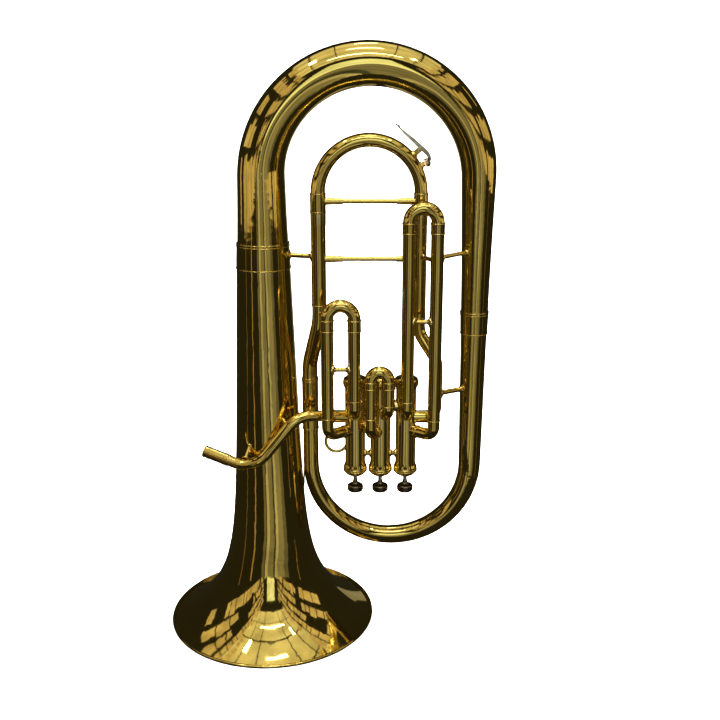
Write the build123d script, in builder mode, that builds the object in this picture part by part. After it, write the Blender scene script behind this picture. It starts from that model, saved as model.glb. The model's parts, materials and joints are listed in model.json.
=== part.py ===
from build123d import *

import os
from math import atan2, cos, exp, hypot, pi, radians, sin

# A three-valve euphonium that stands on its bell, with its finger buttons pointing down.
# Millimetres, +Z up. The origin is the centre of the bell's rim, on the surface that it stands on.
# +X runs from the bell to the far leg of the big bow. The valve slides are on the -Y side.

# Bell: radius = TOP + TAPER * (distance below the top) + FLARE * exp(-height / FLARE_LENGTH)
BELL_TOP = 474.0
BELL_TOP_RADIUS = 33.15
BELL_TAPER = 0.036
BELL_FLARE = 84.8
BELL_FLARE_LENGTH = 44.35
BELL_WALL = 0.7
BELL_LIP = 1.4
RIM_RADIUS = 135.0
RIM_WIRE = 2.1
RIM_LAND_DEPTH = 0.15

# Big bow, from the bell's ferrule over to the far leg, and the lower bow that brings it back
BOW_WALL = 0.7
BOW_RADIUS = 130.0
BOW_BEND = 583.5
BOW_SIZES = (31.2, 28.7, 25.8, 20.9, 17.0)
BELL_FERRULE = (474.0, 506.0)
BELL_FERRULE_SIZES = (33.7, 32.2)
FAR_X = 2 * BOW_RADIUS
FAR_FERRULE = (391.0, 420.0)
FAR_FERRULE_SIZES = (17.1, 17.7)
LOWER_RADIUS = 102.6
LOWER_BEND = 218.0
LOWER_SIZES = (16.3, 14.2, 12.0, 10.0, 9.75)
BRANCH_X = FAR_X - 2 * LOWER_RADIUS
BRANCH_FERRULE = (265.0, 334.0)
BRANCH_FERRULE_SIZE = 10.4
FERRULE_WALL = 1.3
BEAD = 0.65

# Main tuning slide: its left leg is wider than its right
MAIN_Y = -17.0
MAIN_X = (68.2, 190.3)
MAIN_OUTER = (9.0, 8.0)
MAIN_OUTER_BORE = (8.55, 7.55)
MAIN_INNER = (8.4, 7.4)
MAIN_INNER_BORE = (8.1, 7.1)
MAIN_LOW = (430.0, 414.0)
MAIN_MOUTH = 543.0
MAIN_SOCKET_TOP = 567.0
MAIN_INNER_LOW = 470.0
MAIN_SOCKET = (9.5, 8.5)
MAIN_BAND = 14.0
MAIN_CROOK = (8.75, 8.25, 7.85)
MAIN_CROOK_WALL = 0.7
NECK_X, NECK_SIZE = 213.0, 7.3

# Valves, numbered from the bell side
VALVES = (0, 1, 2)
VALVE_X = (112.0, 143.75, 175.5)
VALVE_Y = -25.0
CASING = 12.8
CASING_BORE = 11.8
CASING_LOW, CASING_FLARE_TOP, CASING_HIGH = 222.0, 230.0, 338.0
CASING_FOOT = 14.8
CAP = 15.3
CAP_MOUTH = 7.2
CAP_WALL = 1.2
CAP_RING, CAP_RING_DEPTH = 2.4, 0.5
CAP_DOME, CAP_LIP = 4.6, 10.2
CAP_THREAD_LENGTH = 6.0
BASE_CAP_LOW, BASE_CAP_CROWN, BASE_CAP_TOP = -8.5, 2.5, 4.5
BASE_CAP_KNOB, BASE_CAP_KNOB_TOP = 5.0, 7.0
BASE_CAP_VENT = 1.5
STROKE = 10.5
PORT = 6.6
PORT_IN, PORT_OUT = 290.0, 290.0
KNUCKLES = (281.0, 304.0)
KNUCKLE_WALL = 1.0
UPPER_PORT, LOWER_PORT = 299.0, 273.5
PISTON_LOW, PISTON_HIGH = 232.0, 312.0
SPRING_WELL = 12.0
PISTON = 11.74
PASSAGE = 5.2
STEM = 2.6
STEM_CLEARANCE = 0.05
BUTTON = 10.2
BUTTON_LOW, BUTTON_NECK = 189.0, 204.0
BUTTON_FLOOR = 5.0
BUTTON_SHOULDER, BUTTON_COLLAR = 9.6, 11.6
GUIDE_DEPTH = 8.0
SPRING_WIRE = 0.5
SPRING_TURNS = 6
SPRING_REST = 0.4

# Valve slides share one size of tube
SLIDE_Y = -50.0
TUBE, TUBE_BORE = 7.8, 7.35
INNER, INNER_BORE = 7.22, 6.9
ELBOW, ELBOW_BORE = 7.45, 6.6
ELBOW_BEND = 11.5
BAND = 8.3
SLIDE_GAP = 0.2
SLIDES = {
    "first": dict(legs=(78.5, 111.2), mouth=421.0, band=15.0, rings=(295.5, 318.0), depth=80.0, valve=0),
    "second": dict(legs=(131.0, 152.8), mouth=344.0, band=10.0, rings=(295.0, 311.5), depth=20.5, valve=1),
    "third": dict(legs=(208.5, 175.5), mouth=536.5, band=13.5, rings=(293.0, 317.0), depth=120.0, valve=2),
}

# Braces
BELL_BRACE_HEIGHT = 491.0
MAIN_BRACES = (488.0, 557.0)
SLIDE_BRACES = (("first", 358.5), ("third", 418.0))
LEG_BRACES = (495.0, 491.0, 320.0)
VALVE_BRACE_HEIGHT = 241.0

# Leadpipe
LEADPIPE, LEADPIPE_BORE = 6.9, 6.2
LEADPIPE_ROUTE = ((-76.5, -38.0, 248.5), (-14.0, -57.0, 231.0), (42.0, -42.0, 297.0), (106.0, -25.0, 290.0))
LEADPIPE_BENDS = (36.0, 34.0)
PIPE_COLLAR, PIPE_COLLAR_LENGTH = 8.0, 22.0
PIPE_COLLAR_REACH = (8.0, 27.0)
RECEIVER_LENGTH = 34.0
RECEIVER = 7.5
RECEIVER_RINGS = (1.0, 7.0, 28.5, 32.8)
SHANK_BORE, SHANK_DEPTH = 5.9, 26.0

# Thumb ring, on the first valve's casing
THUMB_RING = (88.4, -25.0, 256.4)
THUMB_RING_RADIUS = 13.4
THUMB_RING_ROD = 2.1

# Water key, measured from the centre of the main slide's bow: (sideways, up)
KEY_PIVOT = (58.1, 49.6)
KEY_LEVER = ((70.4, 37.2), (69.0, 43.0), (65.0, 47.8), (59.6, 52.6), (50.5, 61.0), (42.0, 68.0), (32.5, 77.5))
KEY_DEPTHS = (3.4, 4.4, 5.2, 5.2, 4.4, 3.4, 1.8)
KEY_WIDTH = 4.4
KEY_EYE = 3.0
KEY_PIN = 1.0
KEY_PIN_CLEARANCE = 0.06
KEY_ANGLE = 27.5
KEY_NIPPLE, KEY_BORE = 3.0, 1.6
KEY_NIPPLE_TOP = 72.5
KEY_CORK_TOP = 75.2
KEY_CORK = 4.0
KEY_CUP, KEY_CUP_TOP, KEY_CUP_DOME = 5.2, 77.6, 80.0
KEY_TOUCH, KEY_TOUCH_DEPTH = 3.0, 1.8
KEY_EAR = 1.2
KEY_SPRING, KEY_SPRING_WIRE = 1.75, 0.35

ROD = 2.7
FLANGE = 6.2
SADDLE = 1.1
SOCKET_LENGTH = 22.0
SOCKET_FOOT, SOCKET_TIP, SOCKET_RING = 4.5, 3.6, 4.2
POST_FLANGE = 1.2
POST_FILLET = 1.6
SKIN = 0.02
ON_BASE = (Align.CENTER, Align.CENTER, Align.MIN)

os.makedirs("parts", exist_ok=True)


def save(builder, name):
    """Labels a finished sub-part and writes its STEP file."""
    builder.part.label = name
    export_step(builder.part, f"parts/{name}.step")


def bar(x, y, low, high, r_low, r_high=None, mode=Mode.ADD):
    """An upright cylinder or cone between two heights."""
    with Locations((x, y, low)):
        if r_high is None or r_high == r_low:
            Cylinder(r_low, high - low, align=ON_BASE, mode=mode)
        else:
            Cone(r_low, r_high, high - low, align=ON_BASE, mode=mode)


def rod(start, end, radius, end_radius=None, mode=Mode.ADD):
    """A round bar or cone from one point to another."""
    run = Vector(*end) - Vector(*start)
    with Locations(Plane(origin=start, z_dir=run)):
        if end_radius is None:
            Cylinder(radius, run.length, align=ON_BASE, mode=mode)
        else:
            Cone(radius, end_radius, run.length, align=ON_BASE, mode=mode)


def bead(x, y, z, radius, minor=BEAD):
    """A raised half-round ring round an upright tube."""
    with Locations((x, y, z)):
        Torus(radius, minor)


def between(a, b, distance):
    """The point at a distance from a towards b."""
    run = Vector(*b) - Vector(*a)
    return tuple(Vector(*a) + run.normalized() * distance)


def tapered_tube(route, sizes, wall):
    """A hollow tube along a wire. sizes holds (fraction of the route, outer radius) pairs."""
    for inset, mode in ((0, Mode.ADD), (wall, Mode.SUBTRACT)):
        rings = []
        for fraction, radius in sizes:
            station = Plane(origin=route @ fraction, z_dir=route % fraction)
            with BuildSketch(station) as ring:
                Circle(radius - inset)
            rings.append(ring.sketch)
        sweep(rings, path=route, multisection=True, mode=mode)


def pipe_collar(near, far, radius, bore):
    """A short sleeve round the end of a pipe, with a bead at its outer end."""
    rod(near, far, radius)
    run = Vector(*far) - Vector(*near)
    with Locations(Plane(between(far, near, BEAD), z_dir=run)):
        Torus(radius, BEAD)
    rod(near, far, bore, mode=Mode.SUBTRACT)


def even_tube(route, radius, bore):
    """A hollow tube of one size along a wire."""
    for size, mode in ((radius, Mode.ADD), (bore, Mode.SUBTRACT)):
        with BuildSketch(Plane(origin=route @ 0, z_dir=route % 0)) as disc:
            Circle(size)
        sweep(disc.sketch, path=route, mode=mode)


def bent_route(points, bends):
    """Straight runs joined by tangent arcs."""
    with BuildLine() as path:
        FilletPolyline(*points, radius=bends)
    return path.wires()[0]


def u_route(y, start, bend, radius, end=None):
    """A leg, a half turn to the right of its direction, and a second leg, in an upright plane."""
    with BuildLine(Plane.XZ.offset(-y)) as path:
        first = start
        if bend != start[1]:
            leg = Line(start, (start[0], bend))
            first = leg @ 1
        heading = 1 if bend >= start[1] else -1
        turn = JernArc(first, (0, 0, heading), radius, -180)
        if end is not None:
            Line(turn @ 1, (start[0] + 2 * radius * heading, end))
    return path.wires()[0]


# Bell

def bell_radius(z):
    """Outer radius of the bell at a height above the rim."""
    return BELL_TOP_RADIUS + BELL_TAPER * (BELL_TOP - z) + BELL_FLARE * exp(-z / BELL_FLARE_LENGTH)


def bell_outline(inset):
    """Points up the bell, moved inwards across its wall by inset and closer together in the flare."""
    count = 22
    points = []
    for i in range(count + 1):
        z = BELL_LIP + (BELL_TOP - BELL_LIP) * (i / count) ** 2
        slope = -BELL_TAPER - BELL_FLARE / BELL_FLARE_LENGTH * exp(-z / BELL_FLARE_LENGTH)
        shift = inset / hypot(1, slope)
        if i in (0, count):
            points.append((bell_radius(z) - inset * hypot(1, slope), z))
        else:
            points.append((bell_radius(z) - shift, z + shift * slope))
    return points


with BuildPart() as bell:
    with BuildSketch(Plane.XZ):
        with BuildLine():
            outside = Spline(*bell_outline(0))
            inside = Spline(*bell_outline(BELL_WALL))
            Line(outside @ 0, inside @ 0)
            Line(outside @ 1, inside @ 1)
        make_face()
    revolve(axis=Axis.Z)
save(bell, "bell")

with BuildPart() as bell_rim_wire:
    with BuildSketch(Plane.XZ):
        with Locations((RIM_RADIUS - RIM_WIRE, RIM_WIRE - RIM_LAND_DEPTH)):
            Circle(RIM_WIRE)
        with Locations((RIM_RADIUS, 0)):
            Rectangle(4 * RIM_WIRE, RIM_WIRE, align=(Align.CENTER, Align.MAX), mode=Mode.SUBTRACT)
    revolve(axis=Axis.Z)
    add(bell.part, mode=Mode.SUBTRACT)
save(bell_rim_wire, "bell_rim_wire")


# Big bow, lower bow and their ferrules

def ferrule(x, y, low, high, r_low, r_high, wall=FERRULE_WALL):
    """A sleeve with two raised beads near its top and one near its foot."""
    bar(x, y, low, high, r_low, r_high)
    slope = (r_high - r_low) / (high - low)
    for drop in (1.5 * BEAD, 6.0 * BEAD, high - low - 1.5 * BEAD):
        bead(x, y, high - drop, r_high - slope * drop)
    bar(x, y, low, high, r_low - wall, r_high - wall, mode=Mode.SUBTRACT)


def bow_sizes(leg, half_turn, last_leg, sizes):
    """Outer radii at the start, the turn's two ends and middle, and the finish."""
    total = leg + half_turn + last_leg
    marks = (0, leg, leg + half_turn / 2, leg + half_turn, total)
    return [(mark / total, size) for mark, size in zip(marks, sizes)]


with BuildPart() as bell_ferrule:
    ferrule(0, 0, *BELL_FERRULE, *BELL_FERRULE_SIZES)
save(bell_ferrule, "bell_ferrule")

with BuildPart() as top_bow:
    bow_route = u_route(0, (0, BELL_FERRULE[1]), BOW_BEND, BOW_RADIUS, FAR_FERRULE[1])
    bow_legs = (BOW_BEND - BELL_FERRULE[1], pi * BOW_RADIUS, BOW_BEND - FAR_FERRULE[1])
    tapered_tube(bow_route, bow_sizes(*bow_legs, BOW_SIZES), BOW_WALL)
save(top_bow, "top_bow")

with BuildPart() as outer_branch_ferrule:
    ferrule(FAR_X, 0, *FAR_FERRULE, *FAR_FERRULE_SIZES)
save(outer_branch_ferrule, "outer_branch_ferrule")

with BuildPart() as lower_bow:
    lower_route = u_route(0, (FAR_X, FAR_FERRULE[0]), LOWER_BEND, LOWER_RADIUS, BRANCH_FERRULE[0])
    lower_legs = (FAR_FERRULE[0] - LOWER_BEND, pi * LOWER_RADIUS, BRANCH_FERRULE[0] - LOWER_BEND)
    tapered_tube(lower_route, bow_sizes(*lower_legs, LOWER_SIZES), BOW_WALL)
save(lower_bow, "lower_bow")

with BuildPart() as inner_branch_ferrule:
    ferrule(BRANCH_X, 0, *BRANCH_FERRULE, BRANCH_FERRULE_SIZE, BRANCH_FERRULE_SIZE)
save(inner_branch_ferrule, "inner_branch_ferrule")

with BuildPart() as left_gooseneck:
    neck_points = [
        (BRANCH_X, 0, BRANCH_FERRULE[1]),
        (BRANCH_X, 0, 352),
        (MAIN_X[0], MAIN_Y, 410),
        (MAIN_X[0], MAIN_Y, MAIN_LOW[0]),
    ]
    tapered_tube(bent_route(neck_points, (55, 55)), [(0, 9.7), (1, 8.7)], BOW_WALL)
save(left_gooseneck, "left_gooseneck")


# Main tuning slide

for side, name in enumerate(("left", "right")):
    x = MAIN_X[side]
    size = MAIN_OUTER[side]
    with BuildPart() as main_outer_tube:
        bar(x, MAIN_Y, MAIN_LOW[side], MAIN_MOUTH, size)
        bead(x, MAIN_Y, MAIN_LOW[side] + 1.2, size)
        bar(x, MAIN_Y, MAIN_MOUTH - MAIN_BAND, MAIN_MOUTH, size + 0.4)
        bar(x, MAIN_Y, MAIN_LOW[side], MAIN_MOUTH, MAIN_OUTER_BORE[side], mode=Mode.SUBTRACT)
    save(main_outer_tube, f"main_outer_tube_{name}")

with BuildPart() as right_gooseneck:
    neck_points = [
        (VALVE_X[2] + 8, VALVE_Y, PORT_OUT),
        (NECK_X, VALVE_Y, PORT_OUT),
        (NECK_X, VALVE_Y, 362),
        (MAIN_X[1], MAIN_Y, 397),
        (MAIN_X[1], MAIN_Y, MAIN_LOW[1]),
    ]
    neck_sizes = [(0, 7.0), (0.3, NECK_SIZE - 0.05), (1, 7.7)]
    tapered_tube(bent_route(neck_points, (13, 30, 30)), neck_sizes, BOW_WALL)
    casing_side = (VALVE_X[2] + PIPE_COLLAR_REACH[0], VALVE_Y, PORT_OUT)
    collar_end = (VALVE_X[2] + PIPE_COLLAR_REACH[1], VALVE_Y, PORT_OUT)
    pipe_collar(casing_side, collar_end, PIPE_COLLAR, LEADPIPE_BORE)
    bar(VALVE_X[2], VALVE_Y, PORT_OUT - 20, PORT_OUT + 20, CASING + SKIN, mode=Mode.SUBTRACT)
save(right_gooseneck, "right_gooseneck")

MAIN_BOW_RADIUS = (MAIN_X[1] - MAIN_X[0]) / 2
MAIN_BOW_X = (MAIN_X[0] + MAIN_X[1]) / 2


def bow_point(radius, angle, offset=0):
    """A point near the main slide's bow, by its distance and angle in degrees from the bow's centre."""
    return (
        MAIN_BOW_X + radius * cos(radians(angle)),
        MAIN_Y + offset,
        MAIN_SOCKET_TOP + radius * sin(radians(angle)),
    )


with BuildPart() as main_crook:
    crook_route = u_route(MAIN_Y, (MAIN_X[0], MAIN_SOCKET_TOP), MAIN_SOCKET_TOP, MAIN_BOW_RADIUS)
    crook_sizes = list(zip((0, 0.5, 1), MAIN_CROOK))
    tapered_tube(crook_route, crook_sizes, MAIN_CROOK_WALL)
    drain_top = bow_point(KEY_NIPPLE_TOP, KEY_ANGLE)
    rod(bow_point(MAIN_BOW_RADIUS, KEY_ANGLE), drain_top, KEY_BORE, mode=Mode.SUBTRACT)
save(main_crook, "main_slide_bow")

with BuildPart() as main_sockets:
    for x, socket, inner in zip(MAIN_X, MAIN_SOCKET, MAIN_INNER):
        bar(x, MAIN_Y, MAIN_MOUTH + SLIDE_GAP, MAIN_SOCKET_TOP, socket)
        bead(x, MAIN_Y, MAIN_MOUTH + SLIDE_GAP + 1.2, socket - 0.1)
        bead(x, MAIN_Y, MAIN_SOCKET_TOP - 1.2, socket - 0.1)
        bar(x, MAIN_Y, MAIN_MOUTH, MAIN_SOCKET_TOP, inner + SKIN, mode=Mode.SUBTRACT)
save(main_sockets, "main_slide_sockets")

with BuildPart() as main_inner_legs:
    for x, size, bore in zip(MAIN_X, MAIN_INNER, MAIN_INNER_BORE):
        bar(x, MAIN_Y, MAIN_INNER_LOW, MAIN_SOCKET_TOP, size)
        bar(x, MAIN_Y, MAIN_INNER_LOW, MAIN_SOCKET_TOP, bore, mode=Mode.SUBTRACT)
save(main_inner_legs, "main_slide_inner_legs")


# Valves

def toward(index, x, y, reach, z):
    """A point at a reach from a valve's axis, in the direction of a place beside it."""
    axis = Vector(VALVE_X[index], VALVE_Y, 0)
    return tuple(axis + (Vector(x, y, 0) - axis).normalized() * reach + Vector(0, 0, z))


def valve_ports(index):
    """The four ports of a valve: inlet, outlet, upper slide port and lower slide port."""
    left = VALVE_X[index] - 50
    right = VALVE_X[index] + 50
    heights = (PORT_IN, *KNUCKLES, PORT_OUT)
    lower_leg, upper_leg = list(SLIDES.values())[index]["legs"]
    return (
        (left, VALVE_Y, heights[index]),
        (right, VALVE_Y, heights[index + 1]),
        (upper_leg, SLIDE_Y, UPPER_PORT),
        (lower_leg, SLIDE_Y, LOWER_PORT),
    )


for index in VALVES:
    number = index + 1
    x = VALVE_X[index]
    ports = valve_ports(index)

    with BuildPart() as valve_casing:
        bar(x, VALVE_Y, CASING_LOW + 2, CASING_HIGH, CASING)
        bar(x, VALVE_Y, CASING_LOW, CASING_LOW + 2, CASING_FOOT)
        bar(x, VALVE_Y, CASING_LOW + 2, CASING_LOW + 5, CASING_FOOT, CASING + 0.6)
        bar(x, VALVE_Y, CASING_LOW + 5, CASING_FLARE_TOP, CASING + 0.6, CASING)
        bar(x, VALVE_Y, CASING_LOW, CASING_HIGH, CASING_BORE, mode=Mode.SUBTRACT)
        for port_x, port_y, port_z in ports:
            inner_point = toward(index, port_x, port_y, CASING_BORE - 4, port_z)
            outer_point = toward(index, port_x, port_y, CASING + 4, port_z)
            rod(inner_point, outer_point, PORT, mode=Mode.SUBTRACT)
    save(valve_casing, f"valve_casing_{number}")

    with BuildPart() as piston:
        bar(x, VALVE_Y, PISTON_LOW, PISTON_HIGH, PISTON)
        bar(x, VALVE_Y, PISTON_HIGH - SPRING_WELL, PISTON_HIGH, PISTON - 1.2, mode=Mode.SUBTRACT)
        bar(x, VALVE_Y, PISTON_LOW, PISTON_LOW + GUIDE_DEPTH, STEM + STEM_CLEARANCE, mode=Mode.SUBTRACT)
        ends = [toward(index, a, b, PISTON + 1, c) for a, b, c in ports]
        pressed = [(a, b, c - STROKE) for a, b, c in ends]
        rod(ends[0], ends[1], PASSAGE, mode=Mode.SUBTRACT)
        rod(pressed[0], pressed[3], PASSAGE, mode=Mode.SUBTRACT)
        rod(pressed[1], pressed[2], PASSAGE, mode=Mode.SUBTRACT)
    save(piston, f"piston_{number}")

    with BuildPart() as stem:
        bar(x, VALVE_Y, BUTTON_LOW + BUTTON_FLOOR, PISTON_LOW + GUIDE_DEPTH, STEM)
    save(stem, f"valve_stem_{number}")

    with BuildPart() as finger_button:
        edge = x + BUTTON
        neck = x + STEM
        with BuildSketch(Plane.XZ.offset(-VALVE_Y)):
            with BuildLine():
                dish = ThreePointArc(
                    (x, BUTTON_LOW + 0.5),
                    (edge - 6, BUTTON_LOW + 0.2),
                    (edge - 3.4, BUTTON_LOW),
                )
                lip = ThreePointArc(dish @ 1, (edge - 0.8, BUTTON_LOW + 1.3), (edge, BUTTON_LOW + 4.2))
                side = Line(lip @ 1, (edge, BUTTON_LOW + 7.0))
                shoulder = ThreePointArc(
                    side @ 1,
                    (edge - 0.8, BUTTON_LOW + 8.8),
                    (edge - 2.6, BUTTON_LOW + BUTTON_SHOULDER),
                )
                throat = ThreePointArc(
                    shoulder @ 1,
                    (neck + 1.6, BUTTON_LOW + BUTTON_COLLAR),
                    (neck + 0.5, BUTTON_NECK),
                )
                Polyline(throat @ 1, (x, BUTTON_NECK), dish @ 0)
            make_face()
        revolve(axis=Axis((x, VALVE_Y, 0), (0, 0, 1)))
        bar(x, VALVE_Y, BUTTON_LOW + BUTTON_FLOOR, BUTTON_NECK, STEM + STEM_CLEARANCE, mode=Mode.SUBTRACT)
    save(finger_button, f"finger_button_{number}")

    with BuildPart() as valve_spring:
        rest = PISTON_HIGH - SPRING_WELL + SPRING_WIRE + SPRING_REST
        height = CASING_HIGH - SPRING_WIRE - SPRING_REST - rest
        coil = Helix(height / SPRING_TURNS, height, CASING_BORE - 4, mode=Mode.PRIVATE)
        coil = coil.moved(Location((x, VALVE_Y, rest)))
        with BuildSketch(Plane(origin=coil @ 0, z_dir=coil % 0)) as wire:
            Circle(SPRING_WIRE)
        sweep(wire.sketch, path=coil, is_frenet=True)
    save(valve_spring, f"valve_spring_{number}")

with BuildPart() as top_caps:
    for x in VALVE_X:
        edge = x + CAP
        inside = x + CASING_BORE - CAP_WALL
        mouth_edge = x + CAP_MOUTH
        with BuildSketch(Plane.XZ.offset(-VALVE_Y)):
            with BuildLine():
                thread = Polyline(
                    (inside, CASING_LOW + CAP_THREAD_LENGTH),
                    (x + CASING_BORE - 0.1, CASING_LOW + CAP_THREAD_LENGTH),
                    (x + CASING_BORE - 0.1, CASING_LOW),
                    (edge - CAP_RING_DEPTH, CASING_LOW),
                )
                ring = ThreePointArc(
                    thread @ 1,
                    (edge, CASING_LOW - CAP_RING / 2),
                    (edge - CAP_RING_DEPTH, CASING_LOW - CAP_RING),
                )
                side = ThreePointArc(
                    ring @ 1,
                    (edge, CASING_LOW - 3.5),
                    (edge - 0.8, CASING_LOW - CAP_DOME),
                )
                dome = ThreePointArc(
                    side @ 1,
                    (x + 12.0, CASING_LOW - 7.6),
                    (mouth_edge + 1.0, CASING_LOW - CAP_LIP),
                )
                Polyline(
                    dome @ 1,
                    (mouth_edge, CASING_LOW - CAP_LIP),
                    (mouth_edge, CASING_LOW - CAP_LIP + CAP_WALL),
                    (inside, CASING_LOW - CAP_DOME - 0.4),
                    thread @ 0,
                )
            make_face()
        revolve(axis=Axis((x, VALVE_Y, 0), (0, 0, 1)))
save(top_caps, "valve_top_caps")

with BuildPart() as bottom_caps:
    for x in VALVE_X:
        foot, crown, top, knob_top = (
            CASING_HIGH + step for step in (BASE_CAP_LOW, BASE_CAP_CROWN, BASE_CAP_TOP, BASE_CAP_KNOB_TOP)
        )
        with BuildSketch(Plane.XZ.offset(-VALVE_Y)):
            with BuildLine():
                bulge = ThreePointArc(
                    (x + CAP - 1.4, foot),
                    (x + CAP, (foot + crown) / 2),
                    (x + CAP - 1.2, crown),
                )
                crown_arc = ThreePointArc(bulge @ 1, (x + CAP - 3.2, top - 0.7), (x + CAP - 6, top))
                Polyline(crown_arc @ 1, (x, top), (x, foot), bulge @ 0)
            make_face()
        revolve(axis=Axis((x, VALVE_Y, 0), (0, 0, 1)))
        bar(x, VALVE_Y, top, knob_top, BASE_CAP_KNOB, BASE_CAP_KNOB - 1)
        bar(x, VALVE_Y, foot, CASING_HIGH, CASING + SKIN, mode=Mode.SUBTRACT)
        bar(x, VALVE_Y, CASING_HIGH, knob_top, BASE_CAP_VENT, mode=Mode.SUBTRACT)
save(bottom_caps, "valve_bottom_caps")

with BuildPart() as valve_knuckles:
    for index, z in enumerate(KNUCKLES):
        middle = (VALVE_X[index] + VALVE_X[index + 1]) / 2
        rod((middle - 6, VALVE_Y, z), (middle + 6, VALVE_Y, z), PORT + KNUCKLE_WALL)
        rod((middle - 6, VALVE_Y, z), (middle + 6, VALVE_Y, z), PORT, mode=Mode.SUBTRACT)
    for x in VALVE_X:
        bar(x, VALVE_Y, CASING_FLARE_TOP, CASING_HIGH, CASING + SKIN, mode=Mode.SUBTRACT)
save(valve_knuckles, "valve_knuckles")


# Valve slides: each has two fixed legs, a pair of inner legs and a bow

def slide_leg(index, x, mouth, band, ring, port_z):
    """A fixed leg: a banded mouth, a straight tube, a ring and an elbow into the valve."""
    port = toward(index, x, SLIDE_Y, CASING - 4, port_z)
    with BuildPart() as leg:
        elbow_points = [(x, SLIDE_Y, ring), (x, SLIDE_Y, port_z), port]
        even_tube(bent_route(elbow_points, ELBOW_BEND), ELBOW, ELBOW_BORE)
        collar = toward(index, x, SLIDE_Y, CASING + 5.5, port_z)
        collar_end = toward(index, x, SLIDE_Y, CASING - 4, port_z)
        rod(collar, collar_end, ELBOW + 0.4)
        collar_run = Vector(*collar_end) - Vector(*collar)
        with Locations(Plane(between(collar, collar_end, 1.0), z_dir=collar_run)):
            Torus(ELBOW + 0.35, BEAD)
        rod(collar, collar_end, ELBOW_BORE, mode=Mode.SUBTRACT)
        bar(VALVE_X[index], VALVE_Y, port_z - 20, port_z + 20, CASING + SKIN, mode=Mode.SUBTRACT)
        bar(x, SLIDE_Y, ring, mouth, TUBE)
        bead(x, SLIDE_Y, ring + BEAD, TUBE)
        bar(x, SLIDE_Y, mouth - band, mouth, BAND)
        bead(x, SLIDE_Y, mouth - band + BEAD, BAND - 0.1)
        bead(x, SLIDE_Y, mouth - 2 * BEAD, BAND - 0.1, 1.3 * BEAD)
        bar(x, SLIDE_Y, ring, mouth, TUBE_BORE, mode=Mode.SUBTRACT)
    return leg


for name, slide in SLIDES.items():
    mouth = slide["mouth"]
    sides = sorted(zip(slide["legs"], slide["rings"], (LOWER_PORT, UPPER_PORT)))
    for side, (x, ring, port_z) in zip(("left", "right"), sides):
        leg = slide_leg(slide["valve"], x, mouth, slide["band"], ring, port_z)
        save(leg, f"{name}_slide_leg_{side}")

    with BuildPart() as inner_legs:
        for x in slide["legs"]:
            bar(x, SLIDE_Y, mouth - slide["depth"], mouth + SLIDE_GAP, INNER)
            bar(x, SLIDE_Y, mouth - slide["depth"], mouth + SLIDE_GAP, INNER_BORE, mode=Mode.SUBTRACT)
    save(inner_legs, f"{name}_slide_inner_legs")

    with BuildPart() as crook:
        left, right = min(slide["legs"]), max(slide["legs"])
        base = mouth + SLIDE_GAP
        even_tube(u_route(SLIDE_Y, (left, base), base, (right - left) / 2), TUBE, INNER_BORE)
    save(crook, f"{name}_slide_bow")


# Leadpipe and mouthpiece receiver

mouth_point = LEADPIPE_ROUTE[0]
pipe_start = between(mouth_point, LEADPIPE_ROUTE[1], RECEIVER_LENGTH)

with BuildPart() as leadpipe:
    even_tube(bent_route([pipe_start, *LEADPIPE_ROUTE[1:]], LEADPIPE_BENDS), LEADPIPE, LEADPIPE_BORE)
    pipe_end, pipe_bend = LEADPIPE_ROUTE[3], LEADPIPE_ROUTE[2]
    pipe_collar(pipe_end, between(pipe_end, pipe_bend, PIPE_COLLAR_LENGTH), PIPE_COLLAR, LEADPIPE_BORE)
    bar(VALVE_X[0], VALVE_Y, PORT_IN - 20, PORT_IN + 20, CASING + SKIN, mode=Mode.SUBTRACT)
save(leadpipe, "leadpipe")

with BuildPart() as mouthpiece_receiver:
    rod(mouth_point, pipe_start, RECEIVER)
    receiver_run = Vector(*pipe_start) - Vector(*mouth_point)
    for distance in RECEIVER_RINGS:
        with Locations(Plane(between(mouth_point, pipe_start, distance), z_dir=receiver_run)):
            Torus(RECEIVER - 0.1, 0.7)
    rod(mouth_point, pipe_start, LEADPIPE_BORE - 1.2, mode=Mode.SUBTRACT)
    rod(mouth_point, between(mouth_point, pipe_start, SHANK_DEPTH), SHANK_BORE, mode=Mode.SUBTRACT)
save(mouthpiece_receiver, "mouthpiece_receiver")


# Braces and small fittings

def saddle(tube, direction, flange):
    """A curved plate on one side of an upright tube, given as (x, y, z, radius)."""
    x, y, z, radius = tube
    centre = Vector(x, y, z)
    with BuildPart() as plate:
        bar(x, y, z - 2 * flange, z + 2 * flange, radius + SADDLE)
        bar(x, y, z - 2 * flange, z + 2 * flange, radius + SKIN, mode=Mode.SUBTRACT)
        rod(tuple(centre), tuple(centre + direction * (radius + 2 * SADDLE)), flange, mode=Mode.INTERSECT)
    return plate.part


def brace(first, second, radius=ROD, flange=FLANGE):
    """The pieces of a level bar between two upright tubes: the bar and a curved plate on each tube."""
    start, end = Vector(*first[:3]), Vector(*second[:3])
    run = (end - start).normalized()
    with BuildPart() as piece:
        rod(tuple(start), tuple(end), radius)
        for centre, inward, reach in ((start, run, first[3] + SADDLE), (end, -run, second[3] + SADDLE)):
            foot = centre + inward * (reach - SADDLE / 2)
            neck = foot + inward * (SADDLE / 2 + POST_FILLET)
            rod(tuple(foot), tuple(neck), radius + POST_FILLET, radius)
        for x, y, z, size in (first, second):
            cut_round(x, y, z - 3 * radius, z + 3 * radius, size)
    return [piece.part, saddle(first, run, flange), saddle(second, -run, flange)]


def post(start, end, radius=ROD, flange=FLANGE):
    """A round bar with a flat flange at each end, whose ends are cut to fit their tubes afterwards."""
    rod(start, end, radius)
    for a, b in ((start, end), (end, start)):
        face = between(a, b, POST_FLANGE)
        rod(a, face, flange)
        rod(face, between(a, b, POST_FLANGE + POST_FILLET), flange - POST_FLANGE, radius)


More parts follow.
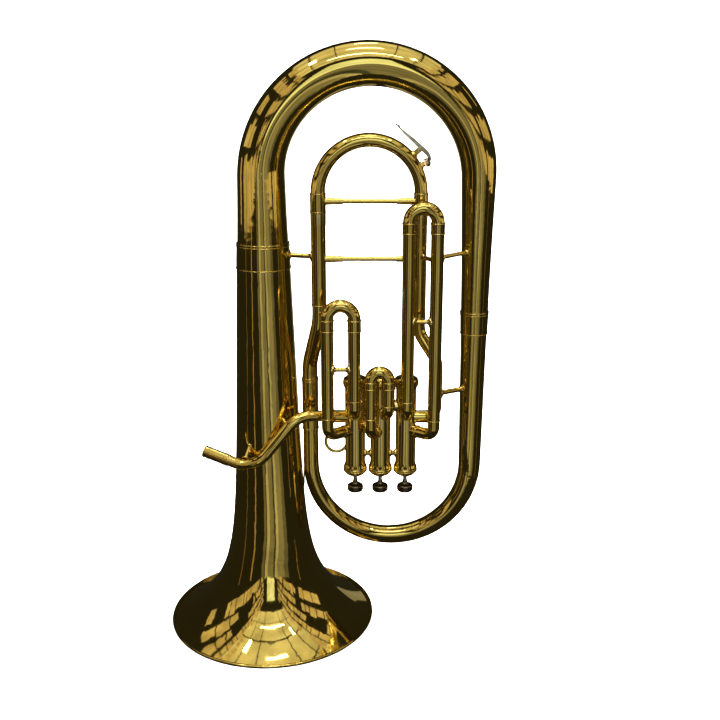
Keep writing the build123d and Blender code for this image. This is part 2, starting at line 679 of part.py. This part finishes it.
def socket_brace(start, end):
    """A bar whose ends are held in long ringed sockets."""
    rod(start, end, ROD)
    for a, b in ((start, end), (end, start)):
        rod(a, between(a, b, SOCKET_LENGTH), SOCKET_FOOT, SOCKET_TIP)
        rod(between(a, b, SOCKET_LENGTH - 1), between(a, b, SOCKET_LENGTH + 0.5), SOCKET_RING)


def cut_round(x, y, low, high, radius):
    """Cuts a brace's end to sit on an upright tube."""
    bar(x, y, low, high, radius + SKIN, mode=Mode.SUBTRACT)


bell_side = (0, 0, BELL_BRACE_HEIGHT, BELL_FERRULE_SIZES[0] - 0.5)
main_left = (MAIN_X[0], MAIN_Y, BELL_BRACE_HEIGHT, MAIN_OUTER[0])
bell_brace_pieces = brace(bell_side, main_left, ROD + 0.3)

with BuildPart() as bell_to_main_brace:
    add(bell_brace_pieces)
save(bell_to_main_brace, "bell_to_main_brace")

with BuildPart() as main_fixed_brace:
    socket_brace((MAIN_X[0] + 7, MAIN_Y, MAIN_BRACES[0]), (MAIN_X[1] - 6, MAIN_Y, MAIN_BRACES[0]))
    for x, size in zip(MAIN_X, MAIN_OUTER):
        cut_round(x, MAIN_Y, MAIN_BRACES[0] - 10, MAIN_BRACES[0] + 10, size)
save(main_fixed_brace, "main_slide_fixed_brace")

with BuildPart() as main_moving_brace:
    socket_brace((MAIN_X[0] + 7, MAIN_Y, MAIN_BRACES[1]), (MAIN_X[1] - 6, MAIN_Y, MAIN_BRACES[1]))
    for x, size in zip(MAIN_X, MAIN_SOCKET):
        cut_round(x, MAIN_Y, MAIN_BRACES[1] - 10, MAIN_BRACES[1] + 10, size)
save(main_moving_brace, "main_slide_moving_brace")

slide_brace_pieces = []
for name, z in SLIDE_BRACES:
    left, right = sorted(SLIDES[name]["legs"])
    slide_brace_pieces += brace((left, SLIDE_Y, z, TUBE), (right, SLIDE_Y, z, TUBE))

with BuildPart() as slide_braces:
    add(slide_brace_pieces)
save(slide_braces, "slide_braces")

third_right = max(SLIDES["third"]["legs"])
upper_leg_taper = (BOW_SIZES[3] - BOW_SIZES[4]) / (BOW_BEND - FAR_FERRULE[1])
lower_leg_taper = (LOWER_SIZES[0] - LOWER_SIZES[1]) / (FAR_FERRULE[0] - LOWER_BEND)
high, middle, low = LEG_BRACES
far_high = BOW_SIZES[4] + (high - FAR_FERRULE[1]) * upper_leg_taper + 0.15
far_low = LOWER_SIZES[1] + (low - LOWER_BEND) * lower_leg_taper + 0.1
leg_brace_pieces = brace((third_right, SLIDE_Y, high, TUBE), (FAR_X, 0, high, far_high))
leg_brace_pieces += brace((NECK_X, VALVE_Y, low, NECK_SIZE), (FAR_X, 0, low, far_low), ROD + 0.5)
main_right = (MAIN_X[1], MAIN_Y, middle, MAIN_OUTER[1])
leg_brace_pieces += brace(main_right, (third_right, SLIDE_Y, middle, TUBE), ROD, 4.6)

with BuildPart() as leg_braces:
    add(leg_brace_pieces)
save(leg_braces, "leg_braces")

valve_brace_pieces = []
for left, right in ((0, 1), (1, 2)):
    left_casing = (VALVE_X[left], VALVE_Y, VALVE_BRACE_HEIGHT, CASING)
    right_casing = (VALVE_X[right], VALVE_Y, VALVE_BRACE_HEIGHT, CASING)
    valve_brace_pieces += brace(left_casing, right_casing, ROD + 0.3, 5.2)

with BuildPart() as valve_braces:
    add(valve_brace_pieces)
save(valve_braces, "valve_braces")

with BuildPart() as bell_branch_plate:
    with Locations(((BRANCH_X - 9.7 + 43.6) / 2, 0, 199)):
        Box(7, 9, 26)
    cut_round(0, 0, 170, 220, bell_radius(186))
    cut_round(BRANCH_X, 0, 170, 230, LOWER_SIZES[4] + 0.2)
save(bell_branch_plate, "bell_branch_plate")

with BuildPart() as leadpipe_braces:
    post((-20.0, -34.5, 254.0), (-24.5, -49.0, 242.5), ROD, 4.6)
    post((22.5, -31.5, 287.0), (29.0, -42.0, 284.0), ROD, 4.6)
    post((BRANCH_X, -9.6, 293.0), (BRANCH_X, -34.0, 293.0), ROD, 4.6)
    cut_round(0, 0, 235, 270, bell_radius(250))
    cut_round(0, 0, 270, 300, bell_radius(281))
    cut_round(BRANCH_X, 0, 280, 306, BRANCH_FERRULE_SIZE)
    pipe_route = bent_route([pipe_start, *LEADPIPE_ROUTE[1:]], LEADPIPE_BENDS)
    with BuildSketch(Plane(origin=pipe_route @ 0, z_dir=pipe_route % 0)) as disc:
        Circle(LEADPIPE + SKIN)
    sweep(disc.sketch, path=pipe_route, mode=Mode.SUBTRACT)
save(leadpipe_braces, "leadpipe_braces")

with BuildPart() as thumb_ring:
    with Locations(Plane(THUMB_RING, z_dir=(0, 1, 0))):
        Torus(THUMB_RING_RADIUS, THUMB_RING_ROD)
    cut_round(VALVE_X[0], VALVE_Y, 230, 280, CASING)
save(thumb_ring, "thumb_ring")


# Water key on the main slide's bow

KEY_PLANE = Plane.XZ.offset(-MAIN_Y)
pivot_angle = atan2(KEY_PIVOT[1], KEY_PIVOT[0]) * 180 / pi
pivot_radius = hypot(*KEY_PIVOT)
bow_surface = MAIN_BOW_RADIUS + MAIN_CROOK[2]
pin_length = KEY_WIDTH + 2 * KEY_EAR + 1.0


def cut_bow():
    """Cuts a fitting's foot to sit on the bow."""
    with Locations(Plane(bow_point(0, 0), z_dir=(0, 1, 0))):
        Torus(MAIN_BOW_RADIUS, MAIN_CROOK[2] + 0.2, mode=Mode.SUBTRACT)


with BuildPart() as water_key_seat:
    for side in (-1, 1):
        near = side * (KEY_WIDTH / 2 + 0.15)
        with BuildSketch(Plane.XZ.offset(-MAIN_Y - near)):
            with Locations(bow_point(pivot_radius, pivot_angle)[::2]):
                Circle(KEY_EYE)
            ear_middle = bow_point((bow_surface + pivot_radius) / 2, pivot_angle)
            with Locations(Location((ear_middle[0], ear_middle[2], 0), pivot_angle)):
                Rectangle(pivot_radius - bow_surface + 1, 2 * KEY_EYE)
        extrude(amount=-side * KEY_EAR)
    rod(bow_point(bow_surface - 1.5, pivot_angle), bow_point(bow_surface + 1.4, pivot_angle), 5.6, 4.6)
    rod(
        bow_point(pivot_radius, pivot_angle, -pin_length / 2 - 2.4),
        bow_point(pivot_radius, pivot_angle, pin_length / 2),
        KEY_PIN,
    )
    cut_bow()
    rod(bow_point(bow_surface - 1.5, KEY_ANGLE), bow_point(KEY_NIPPLE_TOP, KEY_ANGLE), KEY_NIPPLE)
    rod(bow_point(bow_surface - 1.5, KEY_ANGLE), bow_point(bow_surface + 1, KEY_ANGLE), KEY_NIPPLE + 1.2)
    rod(bow_point(bow_surface - 2, KEY_ANGLE), drain_top, KEY_BORE, mode=Mode.SUBTRACT)
    cut_bow()
save(water_key_seat, "water_key_seat")

def band_edges(points, depths):
    """The two edges of a band that follows a row of points with a depth at each."""
    last = len(points) - 1
    edges = ([], [])
    for i, (point, depth) in enumerate(zip(points, depths)):
        run = Vector(*points[min(i + 1, last)]) - Vector(*points[max(i - 1, 0)])
        side = run.normalized().rotate(Axis.Z, 90) * (depth / 2)
        edges[0].append((point[0] + side.X, point[1] + side.Y))
        edges[1].append((point[0] - side.X, point[1] - side.Y))
    return edges


with BuildPart() as water_key_lever:
    with BuildSketch(Plane.XZ.offset(-MAIN_Y - KEY_WIDTH / 2)):
        with BuildLine():
            path = [(MAIN_BOW_X + a, MAIN_SOCKET_TOP + b) for a, b in KEY_LEVER]
            upper, lower = (Spline(*edge) for edge in band_edges(path, KEY_DEPTHS))
            Line(upper @ 0, lower @ 0)
            Line(upper @ 1, lower @ 1)
        make_face()
        with Locations(bow_point(pivot_radius, pivot_angle)[::2]):
            Circle(KEY_EYE)
    extrude(amount=KEY_WIDTH)
    rod(bow_point(KEY_CORK_TOP - 1.2, KEY_ANGLE), bow_point(KEY_CUP_TOP, KEY_ANGLE), KEY_CUP)
    rod(bow_point(KEY_CUP_TOP, KEY_ANGLE), bow_point(KEY_CUP_DOME, KEY_ANGLE), KEY_CUP, KEY_CUP / 2)
    tip = Vector(path[-1][0], MAIN_Y, path[-1][1])
    lift = (tip - Vector(*bow_point(0, 0))).normalized() * (KEY_TOUCH_DEPTH / 2)
    rod(tuple(tip - lift), tuple(tip + lift), KEY_TOUCH)
    cork_top = bow_point(KEY_CORK_TOP, KEY_ANGLE)
    rod(bow_point(KEY_CORK_TOP - 2, KEY_ANGLE), cork_top, KEY_CORK + SKIN, mode=Mode.SUBTRACT)
    rod(
        bow_point(pivot_radius, pivot_angle, -KEY_WIDTH),
        bow_point(pivot_radius, pivot_angle, KEY_WIDTH),
        KEY_PIN + KEY_PIN_CLEARANCE,
        mode=Mode.SUBTRACT,
    )
save(water_key_lever, "water_key_lever")

with BuildPart() as water_key_cork:
    rod(bow_point(KEY_NIPPLE_TOP, KEY_ANGLE), bow_point(KEY_CORK_TOP, KEY_ANGLE), KEY_CORK)
save(water_key_cork, "water_key_cork")

with BuildPart() as water_key_spring:
    coil_start = Plane(bow_point(pivot_radius, pivot_angle, -pin_length / 2 - 2.0), z_dir=(0, 1, 0))
    coil = coil_start.location * Helix(0.8, 2.0, KEY_SPRING, mode=Mode.PRIVATE)
    with BuildSketch(Plane(origin=coil @ 0, z_dir=coil % 0)) as wire:
        Circle(KEY_SPRING_WIRE)
    sweep(wire.sketch, path=coil, is_frenet=True)
save(water_key_spring, "water_key_spring")
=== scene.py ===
import json
from math import cos, pi, radians, sin
from random import Random

import bmesh
import bpy
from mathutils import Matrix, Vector


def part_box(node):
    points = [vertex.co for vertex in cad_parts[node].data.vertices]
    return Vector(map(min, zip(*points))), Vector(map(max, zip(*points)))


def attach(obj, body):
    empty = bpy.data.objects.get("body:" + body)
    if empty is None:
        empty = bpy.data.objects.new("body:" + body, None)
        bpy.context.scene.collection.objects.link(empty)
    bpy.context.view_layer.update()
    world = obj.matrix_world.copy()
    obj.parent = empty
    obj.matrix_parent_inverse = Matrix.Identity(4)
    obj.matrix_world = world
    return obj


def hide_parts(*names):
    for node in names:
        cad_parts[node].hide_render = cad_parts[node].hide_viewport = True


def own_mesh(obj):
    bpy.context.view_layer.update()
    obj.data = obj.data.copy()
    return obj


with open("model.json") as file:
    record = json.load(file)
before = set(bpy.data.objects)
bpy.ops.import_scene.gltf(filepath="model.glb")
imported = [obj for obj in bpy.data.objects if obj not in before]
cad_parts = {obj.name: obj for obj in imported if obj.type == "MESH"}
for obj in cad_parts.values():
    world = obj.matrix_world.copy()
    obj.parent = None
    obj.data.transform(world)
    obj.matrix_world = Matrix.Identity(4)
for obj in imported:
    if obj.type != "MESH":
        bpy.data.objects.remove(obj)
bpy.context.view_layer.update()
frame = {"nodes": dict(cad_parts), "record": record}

NODES = frame["nodes"]


# Materials. Noise scales are patterns per metre, and depths are metres.

CLOUDS, SMEARS, WAVES, RUBBING = 14, 40, 55, 900
WAVE_DEPTH, RUBBING_DEPTH, RUBBING_STRENGTH = 0.0006, 0.0002, 0.02
COAT_ROUGHNESS, COAT_IOR = 0.02, 1.45
EDGE_START, EDGE_END = 0.54, 0.62
CORK_GRAIN, CORK_PORES = 700, 2200
# The Mix node has a set of sockets for each kind of value. These are its two colours and their result.
COLOUR_A, COLOUR_B, COLOUR_RESULT = 6, 7, 2


def shader(name):
    """A material with a Principled shader, its coordinates and a helper to wire it."""
    material = bpy.data.materials.new(name)
    material.use_nodes = True
    tree = material.node_tree
    surface = tree.nodes["Principled BSDF"]
    coordinates = tree.nodes.new("ShaderNodeTexCoord")
    return material, tree, surface, coordinates.outputs["Object"]


def noise(tree, vector, scale, detail=4.0, roughness=0.55, stretch=(1, 1, 1)):
    """A noise pattern's value, in the object's own metres."""
    mapping = tree.nodes.new("ShaderNodeMapping")
    mapping.inputs["Scale"].default_value = stretch
    tree.links.new(vector, mapping.inputs["Vector"])
    node = tree.nodes.new("ShaderNodeTexNoise")
    node.inputs["Scale"].default_value = scale
    node.inputs["Detail"].default_value = detail
    node.inputs["Roughness"].default_value = roughness
    tree.links.new(mapping.outputs["Vector"], node.inputs["Vector"])
    return node.outputs["Fac"]


def ramp(tree, value, stops):
    """Colours along a value: stops are (position, colour)."""
    node = tree.nodes.new("ShaderNodeValToRGB")
    band = node.color_ramp
    while len(band.elements) < len(stops):
        band.elements.new(0.5)
    for element, (position, colour) in zip(band.elements, stops):
        element.position = position
        element.color = (*colour, 1)
    tree.links.new(value, node.inputs["Fac"])
    return node.outputs["Color"]


def spread(tree, value, low, high, start=0.3, end=0.7):
    """A value mapped to a range."""
    node = tree.nodes.new("ShaderNodeMapRange")
    node.inputs["From Min"].default_value = start
    node.inputs["From Max"].default_value = end
    node.inputs["To Min"].default_value = low
    node.inputs["To Max"].default_value = high
    tree.links.new(value, node.inputs["Value"])
    return node.outputs["Result"]


def mix(tree, factor, first, second):
    """Two colours mixed by a value."""
    node = tree.nodes.new("ShaderNodeMix")
    node.data_type = "RGBA"
    tree.links.new(factor, node.inputs["Factor"])
    for socket, source in ((node.inputs[COLOUR_A], first), (node.inputs[COLOUR_B], second)):
        if isinstance(source, tuple):
            socket.default_value = (*source, 1)
        else:
            tree.links.new(source, socket)
    return node.outputs[COLOUR_RESULT]


def bump(tree, surface, heights):
    """Adds several height patterns to the surface: (value, strength, depth in metres)."""
    normal = None
    for value, strength, depth in heights:
        node = tree.nodes.new("ShaderNodeBump")
        node.inputs["Strength"].default_value = strength
        node.inputs["Distance"].default_value = depth
        tree.links.new(value, node.inputs["Height"])
        if normal is not None:
            tree.links.new(normal, node.inputs["Normal"])
        normal = node.outputs["Normal"]
    tree.links.new(normal, surface.inputs["Normal"])


def painted_highlight_edges(tree):
    """A value that rises where the metal turns a convex edge, where a highlight is painted into the colour.
    """
    geometry = tree.nodes.new("ShaderNodeNewGeometry")
    return spread(tree, geometry.outputs["Pointiness"], 0, 1, EDGE_START, EDGE_END)


def metal(name, deep, bright, rough, waviness=0.12, coat=0.0, edge=None):
    """Polished metal with uneven tone, faint waves from hand finishing, and fine rubbing marks."""
    material, tree, surface, where = shader(name)
    surface.inputs["Metallic"].default_value = 1.0
    surface.inputs["Coat Weight"].default_value = coat
    surface.inputs["Coat Roughness"].default_value = COAT_ROUGHNESS
    surface.inputs["Coat IOR"].default_value = COAT_IOR
    clouds = noise(tree, where, CLOUDS, 5)
    colour = ramp(tree, clouds, [(0.3, deep), (0.7, bright)])
    # Where an edge colour is given, it is mixed in on convex edges: a painted highlight along rims, rings
    # and edges.
    if edge is not None:
        colour = mix(tree, painted_highlight_edges(tree), colour, edge)
    tree.links.new(colour, surface.inputs["Base Color"])
    smears = noise(tree, where, SMEARS, 6, 0.65, (1, 1, 0.25))
    tree.links.new(spread(tree, smears, rough[0], rough[1]), surface.inputs["Roughness"])
    waves = noise(tree, where, WAVES, 2, 0.4)
    rubbing = noise(tree, where, RUBBING, 3, 0.6, (1, 1, 0.08))
    bump(tree, surface, [(waves, waviness, WAVE_DEPTH), (rubbing, RUBBING_STRENGTH, RUBBING_DEPTH)])
    return material


def cork_material():
    """Cut cork: warm brown with dark pores."""
    material, tree, surface, where = shader("natural_cork")
    grain = noise(tree, where, CORK_GRAIN, 6, 0.7)
    pores = noise(tree, where, CORK_PORES, 2, 0.5)
    tan = ramp(tree, grain, [(0.3, (0.36, 0.13, 0.03)), (0.7, (0.68, 0.33, 0.11))])
    dark = spread(tree, pores, 0, 0.8, 0.6, 0.72)
    tree.links.new(mix(tree, dark, tan, (0.09, 0.035, 0.012)), surface.inputs["Base Color"])
    tree.links.new(spread(tree, grain, 0.75, 0.95), surface.inputs["Roughness"])
    bump(tree, surface, [(grain, 0.5, 0.0003), (pores, 0.3, 0.0002)])
    return material


# The brass's edge colour is a painted highlight on its convex edges.
LACQUER = metal("lacquered_brass", deep=(0.78, 0.585, 0.16), bright=(0.88, 0.69, 0.23), rough=(0.03, 0.08),
                waviness=0.08, coat=0.25, edge=(0.95, 0.79, 0.38))
SLIDE_TUBE = metal("drawn_nickel_silver", deep=(0.70, 0.66, 0.56), bright=(0.82, 0.79, 0.70),
                   rough=(0.1, 0.22), waviness=0.06)
# Nickel plate is painted far darker than the real metal, as painted shade for dark reflections, and its edge
# colour is a painted highlight on convex edges.
NICKEL = metal("nickel_plate", deep=(0.15, 0.12, 0.09), bright=(0.27, 0.23, 0.18), rough=(0.12, 0.24),
               waviness=0.08, edge=(0.62, 0.6, 0.55))
PISTON_METAL = metal("honed_piston_metal", deep=(0.62, 0.61, 0.58), bright=(0.74, 0.73, 0.70),
                     rough=(0.16, 0.3), waviness=0.03)
SPRING_STEEL = metal("drawn_spring_wire", deep=(0.40, 0.40, 0.41), bright=(0.56, 0.56, 0.57),
                     rough=(0.2, 0.35), waviness=0.05)
CORK = cork_material()

SLOT_MATERIALS = {
    "brass_lacquer": LACQUER,
    "slide_inner": SLIDE_TUBE,
    "nickel": NICKEL,
    "piston_metal": PISTON_METAL,
    "spring_steel": SPRING_STEEL,
    "cork": CORK,
}

for part in frame["record"]["subparts"]:
    node = NODES[part["node"]]
    node.data.materials.clear()
    node.data.materials.append(SLOT_MATERIALS[part["material_slot"]])


# Valve springs, coiled to fill each spring part's box

SPRING_TURNS = 7.0
SPRING_WIRE = 0.0005
CLOSED_TURN = 0.9
END_RISE = 0.06
STEPS_PER_TURN = 28
WIRE_SIDES = 10


def coil_spring(name, low, high):
    """A round-wire spring that fills a box, with a closed turn at each end."""
    middle_x, middle_y = (low[0] + high[0]) / 2, (low[1] + high[1]) / 2
    radius = (high[0] - low[0]) / 2 - 1.05 * SPRING_WIRE
    bottom, top = low[2] + SPRING_WIRE, high[2] - SPRING_WIRE
    steps = int(SPRING_TURNS * STEPS_PER_TURN)
    mesh = bmesh.new()
    rings = []
    for i in range(steps + 1):
        share = i / steps
        climb = min(max((share * SPRING_TURNS - CLOSED_TURN) / (SPRING_TURNS - 2 * CLOSED_TURN), 0), 1)
        rise = bottom + (top - bottom) * ((1 - END_RISE) * climb + END_RISE * share)
        turn = 2 * pi * SPRING_TURNS * share
        ring = []
        for k in range(WIRE_SIDES):
            around = 2 * pi * k / WIRE_SIDES
            reach = radius + SPRING_WIRE * cos(around)
            ring.append(mesh.verts.new((middle_x + reach * cos(turn), middle_y + reach * sin(turn),
                                        rise + SPRING_WIRE * sin(around))))
        rings.append(ring)
    for first, second in zip(rings, rings[1:]):
        for k in range(WIRE_SIDES):
            after = (k + 1) % WIRE_SIDES
            mesh.faces.new((first[k], first[after], second[after], second[k]))
    mesh.faces.new(rings[0][::-1])
    mesh.faces.new(rings[-1])
    mesh.normal_update()
    bmesh.ops.recalc_face_normals(mesh, faces=mesh.faces)
    data = bpy.data.meshes.new(name)
    mesh.to_mesh(data)
    mesh.free()
    data.shade_smooth()
    data.materials.append(SPRING_STEEL)
    spring = bpy.data.objects.new(name, data)
    bpy.context.scene.collection.objects.link(spring)
    return spring


for number in (1, 2, 3):
    node = f"valve_spring_{number}"
    low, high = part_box(node)
    spring = coil_spring(f"coiled_spring_{number}", low, high)
    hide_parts(node)
    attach(spring, "horn_body")
    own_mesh(spring)


# Stage: a pale paper bowl, soft lights that stay out of the metal, and glowing boards that show only in it

MIDDLE = (0.1, 0.0, 0.36)
BOWL_FLOOR, BOWL_BEND, BOWL_HEIGHT, BOWL_SEGMENTS, BEND_STEPS = 3.2, 2.0, 8.0, 64, 12
PATH_STEPS, PATH_HEIGHT = 6, 0.002
SHELF_ROWS, SHELF_LOWEST, SHELF_PITCH = 5, 0.42, 0.38
SHELF_NEAR, SHELF_FAR, BOX_GAP = 0.35, -4.0, 0.03
BOX_WIDTH, BOX_HEIGHT, EMPTY_SHARE = (0.1, 0.34), (0.2, 0.32), 0.18
CEILING, LONG_LAMP, SHORT_LAMP = 2.8, 2.75, 2.6
AISLE_LEFT, AISLE_RIGHT, AISLE_END, AISLE_TOP = -0.5, 0.7, -4.2, 2.3


def plain(name, colour, roughness):
    """A plain studio surface with a very faint mottle."""
    material, tree, surface, where = shader(name)
    low = tuple(0.985 * c for c in colour)
    mottle = ramp(tree, noise(tree, where, 3, 3), [(0.3, low), (0.7, colour)])
    tree.links.new(mottle, surface.inputs["Base Color"])
    surface.inputs["Roughness"].default_value = roughness
    return material


def studio_bowl():
    """The floor and the backdrop as one round bowl, so that every side has the same pale paper behind it."""
    outline = [(0.5 * BOWL_FLOOR, 0.0), (BOWL_FLOOR, 0.0)]
    for step in range(1, BEND_STEPS + 1):
        angle = step * pi / (2 * BEND_STEPS)
        outline.append((BOWL_FLOOR + BOWL_BEND * sin(angle), BOWL_BEND - BOWL_BEND * cos(angle)))
    outline.append((BOWL_FLOOR + BOWL_BEND, BOWL_HEIGHT))
    mesh = bmesh.new()
    centre = mesh.verts.new((0, 0, 0))
    turns = [2 * pi * i / BOWL_SEGMENTS for i in range(BOWL_SEGMENTS)]
    rows = [[mesh.verts.new((reach * cos(t), reach * sin(t), z)) for t in turns] for reach, z in outline]
    for i in range(BOWL_SEGMENTS):
        after = (i + 1) % BOWL_SEGMENTS
        mesh.faces.new((centre, rows[0][i], rows[0][after]))
        for low, high in zip(rows, rows[1:]):
            mesh.faces.new((low[i], high[i], high[after], low[after]))
    data = bpy.data.meshes.new("studio_bowl")
    mesh.to_mesh(data)
    mesh.free()
    data.shade_smooth()
    data.materials.append(plain("studio_paper", (0.93, 0.93, 0.92), 0.9))
    bowl = bpy.data.objects.new("studio_bowl", data)
    bpy.context.scene.collection.objects.link(bowl)
    return bowl


def soft_light(name, place, target, size, power):
    """A soft box that faces a target."""
    data = bpy.data.lights.new(name, "AREA")
    data.shape = "RECTANGLE"
    data.size, data.size_y = size
    data.energy = power
    light = bpy.data.objects.new(name, data)
    light.location = place
    light.rotation_euler = (Vector(target) - Vector(place)).to_track_quat("-Z", "Y").to_euler()
    bpy.context.scene.collection.objects.link(light)
    return light


def card(name, quads, colour, strength, scale=1.2):
    """Plain glowing boards that only show as reflections in the metal."""
    material, tree, _, where = shader(name + "_glow")
    glow = tree.nodes.new("ShaderNodeEmission")
    soft = noise(tree, where, scale, 3)
    dim = tuple(0.6 * c for c in colour)
    tree.links.new(ramp(tree, soft, [(0.35, dim), (0.65, colour)]), glow.inputs["Color"])
    glow.inputs["Strength"].default_value = strength
    tree.links.new(glow.outputs["Emission"], tree.nodes["Material Output"].inputs["Surface"])
    corners = [corner for quad in quads for corner in quad]
    faces = [tuple(range(4 * i, 4 * i + 4)) for i in range(len(quads))]
    data = bpy.data.meshes.new(name)
    data.from_pydata(corners, [], faces)
    data.materials.append(material)
    board = bpy.data.objects.new(name, data)
    board.visible_camera = False
    board.visible_diffuse = False
    board.visible_shadow = False
    bpy.context.scene.collection.objects.link(board)


def floor_path(name, left, right, colour, strength, near=0.5, far=3.4, top=0.5):
    """A lit path on the floor, between two directions, that leads away from the object and up a wall."""
    turns = [radians(left + (right - left) * i / PATH_STEPS) for i in range(PATH_STEPS + 1)]
    quads = []
    for first, second in zip(turns, turns[1:]):
        quad = [(MIDDLE[0] + reach * sin(a), -reach * cos(a), PATH_HEIGHT) for reach, a in
                ((near, first), (near, second), (far, second), (far, first))]
        quads.append(quad)
        quads.append([quad[3], quad[2], (*quad[2][:2], top), (*quad[3][:2], top)])
    card(name, quads, colour, strength)


def shelf_wall(name, x, colour, strength, seed):
    """Rows of boxes on shelves along one side of the room, with dark gaps between."""
    pick = Random(seed)
    quads = []
    for row in range(SHELF_ROWS):
        low = SHELF_LOWEST + SHELF_PITCH * row
        y = SHELF_NEAR
        while y > SHELF_FAR:
            width = pick.uniform(*BOX_WIDTH)
            height = pick.uniform(*BOX_HEIGHT)
            if pick.random() > EMPTY_SHARE:
                end, top = y - width, low + height
                quads.append([(x, y, low), (x, end, low), (x, end, top), (x, y, top)])
            y -= width + BOX_GAP
    card(name, quads, colour, strength, 3.5)


def flat(x0, x1, y0, y1, z):
    """The corners of a level rectangle."""
    return [(x0, y0, z), (x1, y0, z), (x1, y1, z), (x0, y1, z)]


def wash(name, place, target, size, power):
    """A broad soft light that brightens the paper without showing in the metal."""
    soft_light(name, place, target, size, power).visible_glossy = False


bowl = studio_bowl()
bowl.visible_glossy = False

PALE, GREEN, WARM, TAN = (1.0, 0.95, 0.70), (0.84, 0.94, 0.66), (1.0, 0.66, 0.28), (1.0, 0.80, 0.46)
# Each stripe's two directions in degrees, and its strength.
FLOOR_STRIPES = ((-22, -16, 0.22), (-14, -7, 0.60), (-7, 6, 0.26),
                 (11, 17, 0.62), (17, 34, 0.32), (34, 44, 0.16))
for i, (left, right, strength) in enumerate(FLOOR_STRIPES):
    floor_path(f"floor_stripe_{i}", left, right, PALE, strength)
floor_path("floor_gap", 6, 11, GREEN, 0.08)
for i, (left, right, strength) in enumerate(((-48, -45, 0.5), (-74, -72, 0.25), (70, 72, 0.3))):
    floor_path(f"side_stripe_{i}", left, right, WARM, strength)
for i, (left, right) in enumerate(((152, 166), (170, 178), (182, 196), (202, 208))):
    floor_path(f"back_stripe_{i}", left, right, PALE, 0.30)
panels = [flat(x0, x1, y0, y1, CEILING)
          for x0, x1 in ((-1.6, -1.1), (-1.06, -0.52), (-0.48, 0.70), (0.74, 1.25), (1.3, 1.8))
          for y0, y1 in ((-3.3, -2.2), (-2.15, -1.05), (-0.98, 0.2), (0.25, 1.4))]
card("ceiling", panels, (1.0, 0.93, 0.62), 0.95)
lamps = [flat(-0.7, 0.9, -1.9, -1.76, LONG_LAMP), flat(-1.0, -0.86, -0.9, -0.4, SHORT_LAMP),
         flat(1.0, 1.12, -1.4, -0.9, SHORT_LAMP), flat(-0.2, 0.4, -0.4, -0.3, SHORT_LAMP),
         flat(-0.1, 0.3, 0.8, 0.95, SHORT_LAMP)]
card("lamps", lamps, (1.0, 0.98, 0.88), 14.0)
aisle_end = [(AISLE_LEFT, AISLE_END, 0.0), (AISLE_RIGHT, AISLE_END, 0.0),
             (AISLE_RIGHT, AISLE_END, AISLE_TOP), (AISLE_LEFT, AISLE_END, AISLE_TOP)]
card("aisle_end", [aisle_end], (0.92, 1.0, 0.78), 1.4)
shelf_wall("left_shelves", -1.05, TAN, 0.8, 3)
shelf_wall("right_shelves", 1.25, TAN, 0.8, 8)

wash("key", (-0.5, -2.4, 2.4), MIDDLE, (0.5, 0.7), 60)
wash("rim", (0.4, 2.4, 1.9), MIDDLE, (0.25, 0.9), 40)
wash("floor_wash", (0.3, 0.3, 4.2), (0.1, 0, 0), (3.0, 3.0), 150)
for i in range(4):
    x, y = sin(i * pi / 2), cos(i * pi / 2)
    wash(f"wall_wash_{i}", (0.6 * x, 0.6 * y, 4.6), (4 * x, 4 * y, 2.2), (4.0, 1.5), 260)

world = bpy.data.worlds.new("studio_air")
world.use_nodes = True
world.node_tree.nodes["Background"].inputs["Color"].default_value = (0.020, 0.018, 0.010, 1)
world.node_tree.nodes["Background"].inputs["Strength"].default_value = 1.0
bpy.context.scene.world = world


# Camera

lens = bpy.data.cameras.new("camera")
lens.sensor_width = 36
lens.lens = 48
lens.dof.use_dof = False
camera = bpy.data.objects.new("camera", lens)
camera.location = (0.1181, -1.1604, 0.6955)
camera.rotation_euler = (radians(90 - 16.297), 0, 0)
bpy.context.scene.collection.objects.link(camera)
bpy.context.scene.camera = camera
bpy.context.scene.view_settings.view_transform = "Standard"
